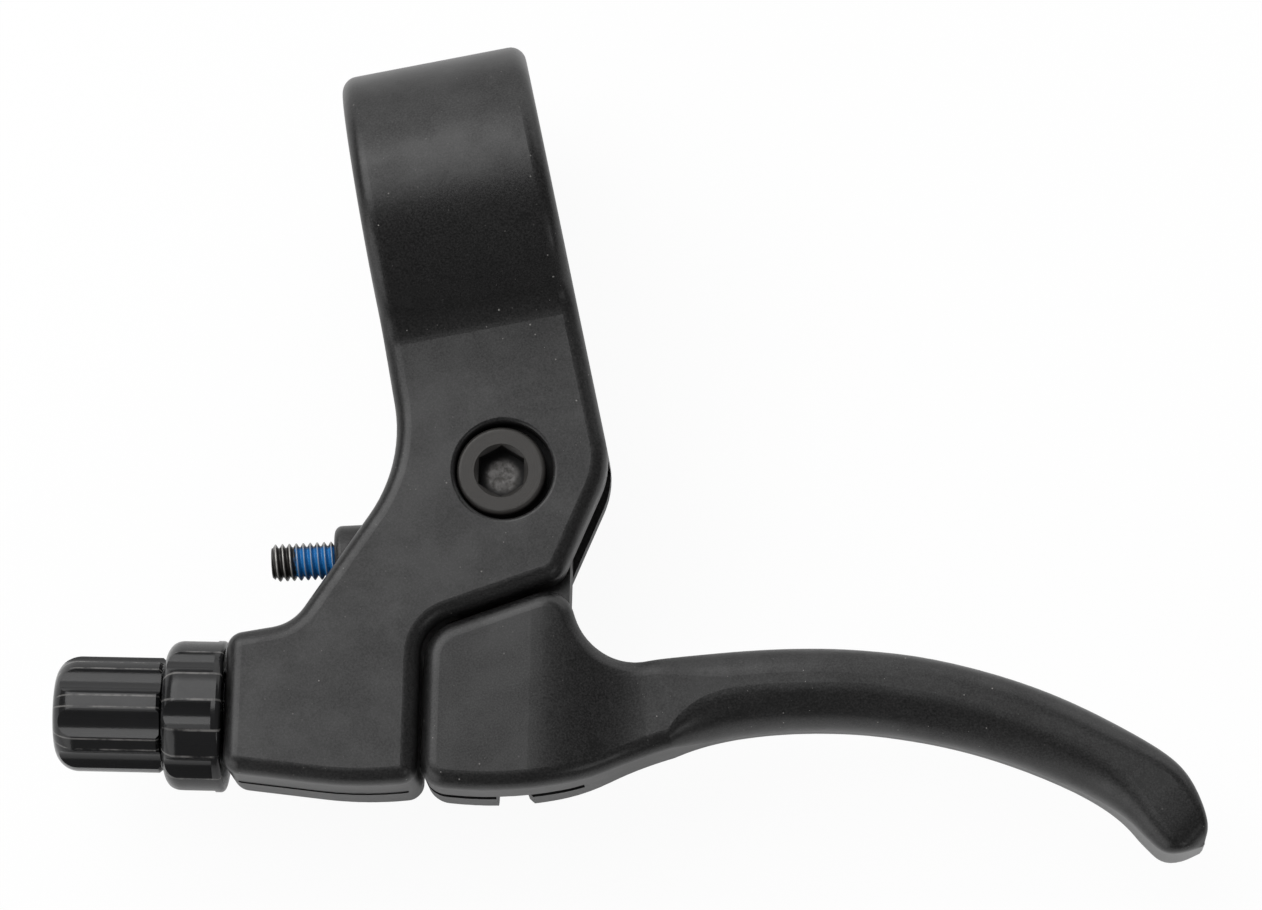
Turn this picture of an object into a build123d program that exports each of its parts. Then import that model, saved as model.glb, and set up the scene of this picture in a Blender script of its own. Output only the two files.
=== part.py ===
"""Two-finger bicycle brake lever with a closed band for a straight handlebar.

Lengths are millimetres and angles are degrees. The bar frame has its origin at the middle of the
handlebar bore, +X along the bar towards the blade's tip, +Y from the lever towards the bar and +Z
out of the front face. The lever frame (p, q) has its origin on the pivot axis, with p along the
cable towards the blade's tip and q towards the bar.
"""
from build123d import *
import os
from math import cos, isclose, radians, sin, sqrt, tan

# Handlebar band
BAR_DIAMETER = 22.2
BAND_WALL = 4.6
BAND_WIDTH = 20.4
BAND_DRAFT = 0.9
BAND_BLEND = 4.5
BAND_FLARE_ANGLE = 7.0
BAND_FLARE_END = 17.5
BAND_FLARE_RADIUS = 70.0
CLAMP_SLIT = 1.8

# Where the pivot and the cable lie
PIVOT_DROP = 30.8
PIVOT_SHIFT = -0.75
CABLE_ANGLE = 12.2
CABLE_ARM = 25.7

# Bracket casting
BRACKET_THICK = 15.0
BRACKET_EDGE = 1.7
NECK_DROP = 28.0
NECK_RADIUS = 16.0
STOP_LEFT = 28.3
STOP_RIGHT = 7.9
STOP_ABOVE = 7.8
STOP_BELOW = 8.2
STOP_SHOULDER = 21.5
STOP_SHOULDER_RISE = 1.3
STOP_SHOULDER_RADIUS = 5.0
STOP_TOP_CORNER = 1.85
STOP_LOW_CORNER = 1.9
STOP_CORNER_RISE = 1.4
STOP_BELLY_RADIUS = 40.0
STOP_HEEL_RISE = 0.7
STOP_HEEL_RADIUS = 1.85
FORK_CROOK_RADIUS = 4.4
FORK_FOOT = 6.65
FORK_DEPTH = 12.9
FORK_SLOPE = 20.6
FORK_TOE_RADIUS = 2.6
FORK_ELBOW_DROP = 1.7
FORK_ELBOW_RADIUS = 9.0
SLOT_WIDTH = 7.0
SLOT_LEAN = 55.0
FLASH_HEIGHT = 0.12
FLASH_WIDTH = 0.4
FLASH_INSET = 1.2

# Pivot hardware
PIVOT_HEAD_DIAMETER = 9.4
PIVOT_HEAD_HEIGHT = 2.2
PIVOT_HEAD_SINK = 0.5
PIVOT_HEAD_ROUND = 0.45
PIVOT_RECESS_GAP = 0.5
PIVOT_RECESS_SHIFT = 0.3
PIVOT_RECESS_ROUND = 0.45
PIVOT_SHOULDER_DIAMETER = 7.0
PIVOT_THREAD_DIAMETER = 5.0
PIVOT_KEY = 4.8
PIVOT_KEY_DEPTH = 3.0
PIVOT_NUT_FLATS = 8.0
PIVOT_NUT_CORNERS = 8.96
PIVOT_NUT_HEIGHT = 2.7
PIVOT_NUT_CHAMFER = 0.5
BUSH_WALL = 1.0
BUSH_FLANGE_DIAMETER = 12.0
BUSH_FLANGE_THICK = 0.5

# Lever
EYE_RADIUS = 7.4
TONGUE_LEFT = 4.2
TONGUE_RIGHT = 7.4
LEVER_GAP = 0.5
LEVER_SIDE_GAP = 0.3
LEVER_THICK = 14.4
LEVER_EDGE = 1.8
LEVER_TOP_CORNER = 4.3
BLADE_THICK = 10.6
BLADE_HEIGHT = 8.45
BLADE_UNDER_ROUND = 0.53
BLADE_BACK_ROUND = 0.34
BLADE_CREST = 35.0
BLADE_CREST_DROP = 17.6
BLADE_RADIUS = 64.3
BLADE_INNER_RADIUS = 61.9
BLADE_START_ANGLE = -17.0
BLADE_ROUND_SPAN = 8.0
BLADE_ROUND_START = 0.4
BLADE_ANGLES = (-14.5, -12.0, -9.0, -5.0, 0.0, 6.0, 12.0, 18.0, 24.0)
BLADE_ROOT_RADIUS = 100.0
BLADE_ROOT_ANGLE = 11.2
CROTCH_RADIUS = 6.5
CROTCH_ANGLE = 82.0
HEEL_RADIUS = 53.5
HEEL_ANGLE = 25.5
HIP_RADIUS = 22.0
HIP_ANGLE = 13.2
SOLE_RADIUS = 40.0
SOLE_CORNER = 2.7
SOLE_RUN_RATIO = 1.1
LEVER_HORN = 3.0
TAPER_START = 6.5
TAPER_END = 13.1
TAPER_RADIUS = 20.0

# Blade sections near the tip: angle, flare of the underside, fall of the back, shares of thickness and rounding
TIP_SECTIONS = (
    (29.0, 0.0, 0.0, 1.0, 0.95),
    (34.4, 0.5, 0.15, 1.0, 0.65),
    (36.4, 1.0, 0.7, 1.0, 0.58),
    (38.0, 1.25, 1.5, 0.99, 0.54),
    (39.2, 1.15, 2.25, 0.97, 0.52),
    (40.2, 0.5, 3.0, 0.91, 0.5),
    (41.1, -0.8, 4.1, 0.72, 0.5),
    (41.55, -1.75, 4.9, 0.52, 0.4),
)
ROUND_LIMIT = 0.46

# Cable pocket in the lever
NIPPLE_DIAMETER = 7.2
NIPPLE_OFFSET = 1.7
NIPPLE_DEPTH = 10.6
CABLE_SLOT = 1.8
CABLE_SLOT_END = 9.4
CABLE_NOTCH = 3.2
CABLE_NOTCH_LIP = 7.1

# Clamp bolt
CLAMP_BOLT_DROP = 18.4
CLAMP_BOLT_DIAMETER = 5.0
CLAMP_HEAD_DIAMETER = 8.5
CLAMP_HEAD_HEIGHT = 5.0
CLAMP_HEAD_SINK = 3.5
CLAMP_HEAD_ROUND = 0.4
CLAMP_KEY = 4.0
CLAMP_KEY_DEPTH = 2.5
CLAMP_THREAD_DEPTH = 5.0
CLAMP_END_GAP = 0.4

# Reach screw
REACH_DIAMETER = 4.0
REACH_LENGTH = 20.0
REACH_CHAMFER = 0.4
REACH_ARM = 7.4
REACH_ANGLE = 4.0
REACH_KEY = 2.0
REACH_KEY_DEPTH = 2.0
REACH_BOSS_DIAMETER = 7.2
REACH_BOSS_END = 18.2
REACH_BOSS_LENGTH = 10.0
REACH_BOSS_ROUND = 0.8

# Cable adjuster
BARREL_DIAMETER = 12.2
BARREL_HEAD_LENGTH = 11.45
BARREL_DOME = 2.6
BARREL_CHAMFER = 0.3
BARREL_THREAD_DIAMETER = 9.8
BARREL_THREAD_LENGTH = 15.0
BARREL_TRAVEL = 2.0
BARREL_FLUTES = 8
BARREL_TURN = 18.0
FLUTE_RADIUS = 2.4
FLUTE_DEPTH = 0.75
HOUSING_DIAMETER = 6.1
HOUSING_DEPTH = 10.0
CABLE_HOLE = 2.4
LOCK_NUT_DIAMETER = 16.0
LOCK_NUT_LENGTH = 6.35
LOCK_NUT_ROUND = 1.9
LOCK_NUT_FLANGE = 0.95
LOCK_NUT_FLANGE_ROUND = 0.5
LOCK_NUT_LOBES = 8
LOCK_NUT_TURN = 8.0
SCALLOP_RADIUS = 2.05
SCALLOP_DEPTH = 0.8

# Shared by every key socket: lead-in diameter over the width across flats
KEY_LEAD_RATIO = 1.2

# Clearances
THREAD_GAP = 0.05
RUNNING_GAP = 0.04
SEAT_GAP = 0.02
HOLE_GAP = 0.15
SWING_GAP = 0.6
FACE_GAP = 0.1
STOP_GAP = 0.3
OVERCUT = 1.0

BAND_RADIUS = BAR_DIAMETER / 2 + BAND_WALL
HALF_THICK = BRACKET_THICK / 2
CABLE_Q = -CABLE_ARM
BLADE_CENTRE = -BLADE_CREST_DROP - BLADE_RADIUS
LEVER_LEFT = -STOP_RIGHT + LEVER_SIDE_GAP
FAR = 3 * (PIVOT_DROP + CABLE_ARM)

LEVER_FRAME = Location((PIVOT_SHIFT, -PIVOT_DROP, 0), (0, 0, -CABLE_ANGLE))
REACH_FRAME = Location((0, 0, 0), (0, 0, REACH_ANGLE)) * Location((0, -REACH_ARM, 0))
ALONG_BAR = Plane(origin=(0, 0, 0), x_dir=(0, 1, 0), z_dir=(1, 0, 0))
STANDING = (Align.CENTER, Align.CENTER, Align.MIN)


def in_bar_frame(p, q):
    """Return the bar-frame point of a lever-frame point."""
    x = PIVOT_SHIFT + p * cos(radians(CABLE_ANGLE)) + q * sin(radians(CABLE_ANGLE))
    y = -PIVOT_DROP - p * sin(radians(CABLE_ANGLE)) + q * cos(radians(CABLE_ANGLE))
    return (x, y)


def fork_edge(p, offset=0):
    """Return the lever-frame point at p on the fork's lower edge, moved away from the pivot."""
    foot = (FORK_DEPTH + offset) / cos(radians(FORK_SLOPE))
    return (p, p * tan(radians(FORK_SLOPE)) - foot)


def nearest_corner(face, point):
    """Return the corner of a flat face that lies closest to a point."""
    return face.vertices().sort_by_distance(point)[0]


def rod(radius, start, length):
    """Return a cylinder along +X from start."""
    return Pos(start, 0, 0) * (Rot(0, 90, 0) * Cylinder(radius, length, align=STANDING))


def pin(radius, low, high):
    """Return a cylinder along +Z from low to high."""
    return Pos(0, 0, low) * Cylinder(radius, high - low, align=STANDING)


def key_socket(flats, depth):
    """Return the hexagonal cutter of a key socket, mouth at z = 0, with its lead-in cone."""
    hexagon = extrude(RegularPolygon(flats / 2, 6, major_radius=False, rotation=30), -depth)
    mouth = flats * KEY_LEAD_RATIO / 2
    cone = Pos(0, 0, -mouth / 4) * Cone(mouth / 2, mouth, mouth / 2)
    return hexagon + cone


def bracket_side():
    """Return the bracket seen along the bar: a ring that runs out into a flat slab."""
    flare = HALF_THICK + BAND_FLARE_END * tan(radians(BAND_FLARE_ANGLE))
    upper = [(-FAR, HALF_THICK), (-BAND_FLARE_END, HALF_THICK), (0, flare)]
    lower = [(x, -z) for x, z in reversed(upper)]
    radii = [0, BAND_FLARE_RADIUS, 0, 0, BAND_FLARE_RADIUS, 0]
    profile = make_face(FilletPolyline(*upper, *lower, radius=radii, close=True)) + Circle(BAND_RADIUS)
    roots = profile.vertices().sort_by(Axis.X)[-2:]
    return fillet(roots, BAND_BLEND)


def bracket_front():
    """Return the bracket's outline seen from the front, in the bar frame."""
    half = BAND_WIDTH / 2
    spread = tan(radians(BAND_DRAFT))
    top = 2 * BAND_RADIUS
    stop_top = CABLE_Q + STOP_ABOVE
    stop_low = CABLE_Q - STOP_BELOW
    corners = [
        ((-half + top * spread, top), 0),
        ((-half - NECK_DROP * spread, -NECK_DROP), NECK_RADIUS),
        (in_bar_frame(-STOP_SHOULDER, stop_top + STOP_SHOULDER_RISE), STOP_SHOULDER_RADIUS),
        (in_bar_frame(-STOP_LEFT, stop_top), STOP_TOP_CORNER),
        (in_bar_frame(-STOP_LEFT, stop_low + STOP_CORNER_RISE), STOP_LOW_CORNER),
        (in_bar_frame(-STOP_LEFT / 2, stop_low), STOP_BELLY_RADIUS),
        (in_bar_frame(-STOP_RIGHT, stop_low + STOP_HEEL_RISE), STOP_HEEL_RADIUS),
        (in_bar_frame(*fork_edge(-STOP_RIGHT)), FORK_CROOK_RADIUS),
        (in_bar_frame(*fork_edge(FORK_FOOT)), FORK_TOE_RADIUS),
        ((half + PIVOT_DROP * spread, -PIVOT_DROP - FORK_ELBOW_DROP), FORK_ELBOW_RADIUS),
        ((half - top * spread, top), 0),
    ]
    points = [point for point, _ in corners]
    radii = [radius for _, radius in corners]
    return make_face(FilletPolyline(*points, radius=radii, close=True))


def lever_slot():
    """Return the cutter for the slot in which the lever's tongue swings."""
    radius = EYE_RADIUS + SWING_GAP
    left = -TONGUE_LEFT - 2 * SWING_GAP
    lean = radians(SLOT_LEAN)
    touch = (radius * cos(lean), radius * sin(lean))
    away = (touch[0] + FAR * sin(lean), touch[1] - FAR * cos(lean))
    mouth = make_face(Polyline((left, 0), (left, -FAR), (FAR, -FAR), away, touch, close=True))
    return extrude(mouth + Circle(radius), SLOT_WIDTH / 2, both=True)


def parting_flash():
    """Return the thin line of flash that the mould leaves along the cable stop's underside."""
    rim = extrude(offset(bracket_front(), FLASH_HEIGHT), FLASH_WIDTH / 2, both=True)
    length = STOP_LEFT - STOP_RIGHT - 2 * FLASH_INSET
    middle = Pos(-(STOP_LEFT + STOP_RIGHT) / 2, CABLE_Q - STOP_BELOW, 0)
    return rim & LEVER_FRAME * middle * Box(length, STOP_BELOW, FLASH_WIDTH)


def bracket():
    """Return the casting: band, fork and cable stop in one piece."""
    side = extrude(ALONG_BAR * bracket_side(), FAR, both=True)
    body = side & extrude(bracket_front(), 2 * BAND_RADIUS, both=True)
    rims = body.edges().filter_by(Axis.Z, reverse=True).filter_by(Axis.X, reverse=True)
    body = fillet(rims, BRACKET_EDGE) + parting_flash()

    boss = rod(REACH_BOSS_DIAMETER / 2, -REACH_BOSS_END, REACH_BOSS_LENGTH)
    boss = fillet(boss.edges().group_by(Axis.X)[0], REACH_BOSS_ROUND)
    body += LEVER_FRAME * REACH_FRAME * boss

    recess = PIVOT_HEAD_DIAMETER / 2 + PIVOT_RECESS_GAP
    head_floor = HALF_THICK - PIVOT_HEAD_SINK - PIVOT_HEAD_HEIGHT
    body -= LEVER_FRAME * Pos(PIVOT_RECESS_SHIFT, 0, 0) * pin(recess, head_floor, HALF_THICK + OVERCUT)
    rings = body.edges().filter_by(GeomType.CIRCLE).filter_by(lambda edge: isclose(edge.radius, recess))
    body = fillet(rings.sort_by(Axis.Z)[-1], PIVOT_RECESS_ROUND)

    nut_floor = -HALF_THICK + PIVOT_NUT_HEIGHT + FACE_GAP
    nut_pocket = RegularPolygon(PIVOT_NUT_FLATS / 2 + HOLE_GAP, 6, major_radius=False)
    cable = Pos(0, CABLE_Q, 0)
    cuts = [
        lever_slot(),
        pin(PIVOT_SHOULDER_DIAMETER / 2 + RUNNING_GAP, 0, head_floor + OVERCUT),
        pin(PIVOT_THREAD_DIAMETER / 2 + HOLE_GAP, -HALF_THICK, 0),
        Pos(0, 0, nut_floor) * extrude(nut_pocket, -BRACKET_THICK),
        REACH_FRAME * rod(REACH_DIAMETER / 2 + THREAD_GAP, -REACH_BOSS_END - OVERCUT, REACH_BOSS_END),
        cable * rod(BARREL_THREAD_DIAMETER / 2 + THREAD_GAP, -STOP_LEFT - OVERCUT, BARREL_THREAD_LENGTH),
        cable * rod(CABLE_HOLE / 2, -STOP_LEFT, STOP_LEFT),
    ]
    for cut in cuts:
        body -= LEVER_FRAME * cut

    clamp = Pos(0, -CLAMP_BOLT_DROP, 0)
    seat = -HALF_THICK + CLAMP_HEAD_SINK
    slit_drop = PIVOT_DROP - EYE_RADIUS
    body -= rod(BAR_DIAMETER / 2, -FAR, 2 * FAR)
    body -= Pos(0, -slit_drop / 2, 0) * Box(FAR, slit_drop, CLAMP_SLIT)
    body -= clamp * pin(CLAMP_BOLT_DIAMETER / 2 + HOLE_GAP, seat - OVERCUT, CLAMP_SLIT / 2)
    body -= clamp * pin(CLAMP_HEAD_DIAMETER / 2 + HOLE_GAP, -BAND_RADIUS, seat)
    body -= clamp * pin(CLAMP_BOLT_DIAMETER / 2 + THREAD_GAP, 0, CLAMP_SLIT / 2 + CLAMP_THREAD_DEPTH)
    return body


def lever_outline():
    """Return the lever's body seen from the front up to the blade's crest, without the tongue."""
    crest = (BLADE_CREST, -BLADE_CREST_DROP)
    belly = (BLADE_CREST, -BLADE_CREST_DROP - BLADE_HEIGHT)
    left = (-1, 0)
    heel = JernArc(belly, left, HEEL_RADIUS, HEEL_ANGLE)
    hip = JernArc(heel @ 1, heel % 1, HIP_RADIUS, -HIP_ANGLE)
    sole_end = Axis((LEVER_LEFT + SOLE_RUN_RATIO * SOLE_CORNER, 0, 0), (0, 1, 0))
    sole = JernArc(hip @ 1, hip % 1, SOLE_RADIUS, sole_end)
    root = JernArc(crest, left, BLADE_ROOT_RADIUS, BLADE_ROOT_ANGLE)
    crotch = JernArc(root @ 1, root % 1, CROTCH_RADIUS, -CROTCH_ANGLE)
    sole_run = (LEVER_LEFT - (sole @ 1).X) / (sole % 1).X
    heel_corner = sole @ 1 + (sole % 1) * sole_run
    top_left = fork_edge(LEVER_LEFT, LEVER_GAP)
    slope = tan(radians(FORK_SLOPE))
    rise = fork_edge((crotch @ 1).X, LEVER_GAP)[1] - (crotch @ 1).Y
    top_right = crotch @ 1 + (crotch % 1) * (rise / ((crotch % 1).Y - (crotch % 1).X * slope))
    edges = [
        Line(crest, belly), heel, hip, sole,
        Polyline(sole @ 1, heel_corner, top_left, top_right, crotch @ 1), crotch, root,
    ]
    face = make_face(Curve() + edges)
    for point, radius in ((heel_corner, SOLE_CORNER), (top_left, LEVER_TOP_CORNER), (top_right, LEVER_HORN)):
        face = fillet(nearest_corner(face, point), radius)
    return face


def lever_side():
    """Return the lever seen from above: full thickness at the body, thinner along the blade."""
    body = LEVER_THICK / 2
    blade = BLADE_THICK / 2
    upper = [(-FAR, body), (TAPER_START, body), (TAPER_END, blade), (FAR, blade)]
    lower = [(p, -z) for p, z in reversed(upper)]
    radii = [0, TAPER_RADIUS, TAPER_RADIUS, 0]
    return make_face(FilletPolyline(*upper, *lower, radius=2 * radii, close=True))


def blade_reach(angle, arc_radius, arc_height):
    """Return how far from the blade's centre a ray meets an arc centred that much above the centre."""
    lean = radians(angle)
    return arc_height * cos(lean) + sqrt(arc_radius ** 2 - (arc_height * sin(lean)) ** 2)


def blade_edges(angle):
    """Return how far the underside and the back lie from the blade's centre at an angle from the crest."""
    under_radius = HEEL_RADIUS if angle < 0 else BLADE_INNER_RADIUS
    back_radius = BLADE_ROOT_RADIUS if angle < 0 else BLADE_RADIUS
    under = blade_reach(angle, under_radius, BLADE_RADIUS - BLADE_HEIGHT - under_radius)
    back = blade_reach(angle, back_radius, BLADE_RADIUS - back_radius)
    return (under, back)


def blade_plane(angle, reach=0):
    """Return the plane across the blade at an angle from its crest."""
    lean = radians(angle)
    origin = (BLADE_CREST + reach * sin(lean), BLADE_CENTRE + reach * cos(lean), 0)
    return Plane(origin=origin, x_dir=(0, 0, 1), z_dir=(cos(lean), -sin(lean), 0))


def blade_section(angle, under, back, thick, share):
    """Return one cross-section of the blade, its underside rounder than its back."""
    height = back - under
    section = Rectangle(thick, height)
    for row, rounding in ((0, BLADE_BACK_ROUND), (-1, BLADE_UNDER_ROUND)):
        radius = min(share * rounding * height, ROUND_LIMIT * thick)
        section = fillet(section.vertices().group_by(Axis.Y)[row], radius)
    return blade_plane(angle, (under + back) / 2) * section


def blade(start):
    """Return the blade, from the body's cut face to the tip, its edges rounding out on the way."""
    sections = [start]
    for angle in BLADE_ANGLES:
        left = max(1 - (angle - BLADE_START_ANGLE) / BLADE_ROUND_SPAN, 0)
        share = 1 - (1 - BLADE_ROUND_START) * left ** 2
        sections.append(blade_section(angle, *blade_edges(angle), BLADE_THICK, share))
    for angle, flare, fall, thick_share, share in TIP_SECTIONS:
        under, back = blade_edges(angle)
        sections.append(blade_section(angle, under - flare, back - fall, thick_share * BLADE_THICK, share))
    return loft(sections)


def lever():
    """Return the lever: blade, body, pivot tongue and cable pocket."""
    solid = extrude(lever_outline(), LEVER_THICK, both=True)
    solid &= extrude(Plane.XZ * lever_side(), FAR, both=True)
    across = solid.edges().filter_by(Axis.Y).filter_by(lambda edge: edge.center().X > TAPER_START / 2)
    rims = solid.edges().filter_by(Axis.Z, reverse=True) - across
    solid = fillet(rims, LEVER_EDGE)
    start = blade_plane(BLADE_START_ANGLE)
    solid = split(solid, bisect_by=start, keep=Keep.BOTTOM)
    solid += blade(solid.faces().sort_by(Axis(start.origin, start.z_dir))[-1])

    neck_low = fork_edge(0, LEVER_GAP + LEVER_TOP_CORNER)[1]
    neck_width = TONGUE_LEFT + TONGUE_RIGHT
    neck = Pos(-TONGUE_LEFT, 0) * Rectangle(neck_width, -neck_low, align=(Align.MIN, Align.MAX))
    tongue_half = SLOT_WIDTH / 2 - FACE_GAP - BUSH_FLANGE_THICK
    solid += extrude(neck + Circle(EYE_RADIUS), tongue_half, both=True)
    solid -= pin(PIVOT_SHOULDER_DIAMETER / 2 + RUNNING_GAP + BUSH_WALL + SEAT_GAP, -HALF_THICK, HALF_THICK)

    back = -LEVER_THICK / 2
    floor = back + NIPPLE_DEPTH
    slot_top = CABLE_Q + CABLE_SLOT
    slot_length = CABLE_SLOT_END - LEVER_LEFT + OVERCUT
    solid -= Pos(NIPPLE_OFFSET, CABLE_Q, 0) * pin(NIPPLE_DIAMETER / 2, back - OVERCUT, floor)
    solid -= Pos(CABLE_SLOT_END, slot_top, 0) * Box(
        slot_length, FAR, CABLE_SLOT, align=(Align.MAX, Align.MAX, Align.CENTER))
    half = CABLE_NOTCH / 2
    lip = -CABLE_NOTCH_LIP
    notch = Polyline((-half, 0), (half, 0), (half, lip), (half + FAR, lip - FAR), (-half, lip - FAR), close=True)
    solid -= Pos(NIPPLE_OFFSET, CABLE_Q, 0) * extrude(make_face(notch), -LEVER_THICK)
    return solid


def pivot_bolt():
    """Return the shoulder bolt that the lever turns on."""
    top = HALF_THICK - PIVOT_HEAD_SINK
    seat = top - PIVOT_HEAD_HEIGHT
    shoulder_end = -SLOT_WIDTH / 2
    head = pin(PIVOT_HEAD_DIAMETER / 2, seat, top)
    head = fillet(head.edges().group_by(Axis.Z)[-1], PIVOT_HEAD_ROUND)
    shank = pin(PIVOT_SHOULDER_DIAMETER / 2, shoulder_end, seat)
    thread = pin(PIVOT_THREAD_DIAMETER / 2, -HALF_THICK + FACE_GAP, shoulder_end)
    return head + shank + thread - Pos(0, 0, top) * key_socket(PIVOT_KEY, PIVOT_KEY_DEPTH)


def pivot_nut():
    """Return the nut on the far end of the pivot bolt."""
    low = -HALF_THICK + FACE_GAP
    hexagon = RegularPolygon(PIVOT_NUT_FLATS / 2, 6, major_radius=False)
    body = Pos(0, 0, low) * extrude(hexagon, PIVOT_NUT_HEIGHT)
    rounding = pin(PIVOT_NUT_CORNERS / 2, low, low + PIVOT_NUT_HEIGHT)
    rounding = chamfer(rounding.edges().group_by(Axis.Z)[0], PIVOT_NUT_CHAMFER)
    return (body & rounding) - pin(PIVOT_THREAD_DIAMETER / 2 + THREAD_GAP, -BRACKET_THICK, 0)


def pivot_bush(side):
    """Return the flanged bush of one side of the lever's eye, side being 1 in front and -1 behind."""
    seat = SLOT_WIDTH / 2 - FACE_GAP - BUSH_FLANGE_THICK
    bore = PIVOT_SHOULDER_DIAMETER / 2 + RUNNING_GAP
    bush = pin(bore + BUSH_WALL, FACE_GAP, seat + BUSH_FLANGE_THICK)
    bush += pin(BUSH_FLANGE_DIAMETER / 2, seat, seat + BUSH_FLANGE_THICK)
    bush -= pin(bore, 0, HALF_THICK)
    return bush if side > 0 else mirror(bush, Plane.XY)


def clamp_bolt():
    """Return the cap screw that closes the band, head at the back."""
    seat = -HALF_THICK + CLAMP_HEAD_SINK
    low = seat - CLAMP_HEAD_HEIGHT
    head = pin(CLAMP_HEAD_DIAMETER / 2, low, seat)
    head = fillet(head.edges().group_by(Axis.Z)[0], CLAMP_HEAD_ROUND)
    shank = pin(CLAMP_BOLT_DIAMETER / 2, seat, CLAMP_SLIT / 2 + CLAMP_THREAD_DEPTH - CLAMP_END_GAP)
    socket = Pos(0, 0, low) * (Rot(180, 0, 0) * key_socket(CLAMP_KEY, CLAMP_KEY_DEPTH))
    return Pos(0, -CLAMP_BOLT_DROP, 0) * (head + shank - socket)


def reach_screw():
    """Return the stud that sets how far the blade stands from the bar."""
    lean = radians(REACH_ANGLE)
    tip = -(TONGUE_LEFT * cos(lean) + REACH_ARM * sin(lean) + STOP_GAP)
    start = tip - REACH_LENGTH
    stud = rod(REACH_DIAMETER / 2, start, REACH_LENGTH)
    stud = chamfer(stud.edges().filter_by(GeomType.CIRCLE), REACH_CHAMFER)
    socket = Pos(start, 0, 0) * (Rot(0, -90, 0) * key_socket(REACH_KEY, REACH_KEY_DEPTH))
    return REACH_FRAME * (stud - socket)


def scalloped(solid, count, turn, scallop, centre, start, length):
    """Return a round solid with evenly spaced round grooves along X."""
    groove = Pos(0, 0, centre) * rod(scallop, start, length)
    for step in range(count):
        solid -= Rot(turn + 360 * step / count, 0, 0) * groove
    return solid


def adjusting_barrel():
    """Return the fluted barrel that carries the cable housing."""
    seat = -STOP_LEFT - STOP_GAP - LOCK_NUT_LENGTH - STOP_GAP
    mouth = seat - BARREL_HEAD_LENGTH
    head = rod(BARREL_DIAMETER / 2, mouth, BARREL_HEAD_LENGTH)
    head = fillet(head.edges().group_by(Axis.X)[0], BARREL_DOME)
    head = chamfer(head.edges().group_by(Axis.X)[-1], BARREL_CHAMFER)
    centre = BARREL_DIAMETER / 2 - FLUTE_DEPTH + FLUTE_RADIUS
    head = scalloped(head, BARREL_FLUTES, BARREL_TURN, FLUTE_RADIUS, centre, mouth, BARREL_HEAD_LENGTH)
    shank_end = -STOP_LEFT - OVERCUT + BARREL_THREAD_LENGTH - BARREL_TRAVEL
    barrel = head + rod(BARREL_THREAD_DIAMETER / 2, seat, shank_end - seat)
    barrel -= rod(HOUSING_DIAMETER / 2, mouth, HOUSING_DEPTH)
    barrel -= rod(CABLE_HOLE / 2, mouth, FAR)
    return Pos(0, CABLE_Q, 0) * barrel


def lock_nut():
    """Return the lobed nut that locks the barrel against the bracket."""
    low = -STOP_LEFT - STOP_GAP - LOCK_NUT_LENGTH
    nut = rod(LOCK_NUT_DIAMETER / 2, low, LOCK_NUT_LENGTH)
    nut = fillet(nut.edges().group_by(Axis.X)[0], LOCK_NUT_ROUND)
    nut = fillet(nut.edges().group_by(Axis.X)[-1], LOCK_NUT_FLANGE_ROUND)
    centre = LOCK_NUT_DIAMETER / 2 - SCALLOP_DEPTH + SCALLOP_RADIUS
    lobed = LOCK_NUT_LENGTH - LOCK_NUT_FLANGE
    nut = scalloped(nut, LOCK_NUT_LOBES, LOCK_NUT_TURN, SCALLOP_RADIUS, centre, low, lobed)
    nut -= rod(BARREL_THREAD_DIAMETER / 2 + THREAD_GAP, low, LOCK_NUT_LENGTH)
    return Pos(0, CABLE_Q, 0) * nut


NODES = {
    "bracket": bracket(),
    "lever": LEVER_FRAME * lever(),
    "pivot_bolt": LEVER_FRAME * pivot_bolt(),
    "pivot_nut": LEVER_FRAME * pivot_nut(),
    "pivot_bush_front": LEVER_FRAME * pivot_bush(1),
    "pivot_bush_back": LEVER_FRAME * pivot_bush(-1),
    "clamp_bolt": clamp_bolt(),
    "reach_screw": LEVER_FRAME * reach_screw(),
    "adjusting_barrel": LEVER_FRAME * adjusting_barrel(),
    "lock_nut": LEVER_FRAME * lock_nut(),
}

os.makedirs("parts", exist_ok=True)
for node, shape in NODES.items():
    export_step(shape, f"parts/{node}.step")
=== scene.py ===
"""Looks of the bicycle brake lever: finishes, screw threads and a white studio table.

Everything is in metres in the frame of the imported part: the origin is the middle of the handlebar
bore, +X runs along the bar towards the blade's tip, +Y from the lever towards the bar and +Z out
of the bracket's front face.
"""
import math

import bmesh
import bpy
from bpy.props import FloatProperty, FloatVectorProperty, IntProperty, PointerProperty
from mathutils import Matrix, Vector


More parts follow.
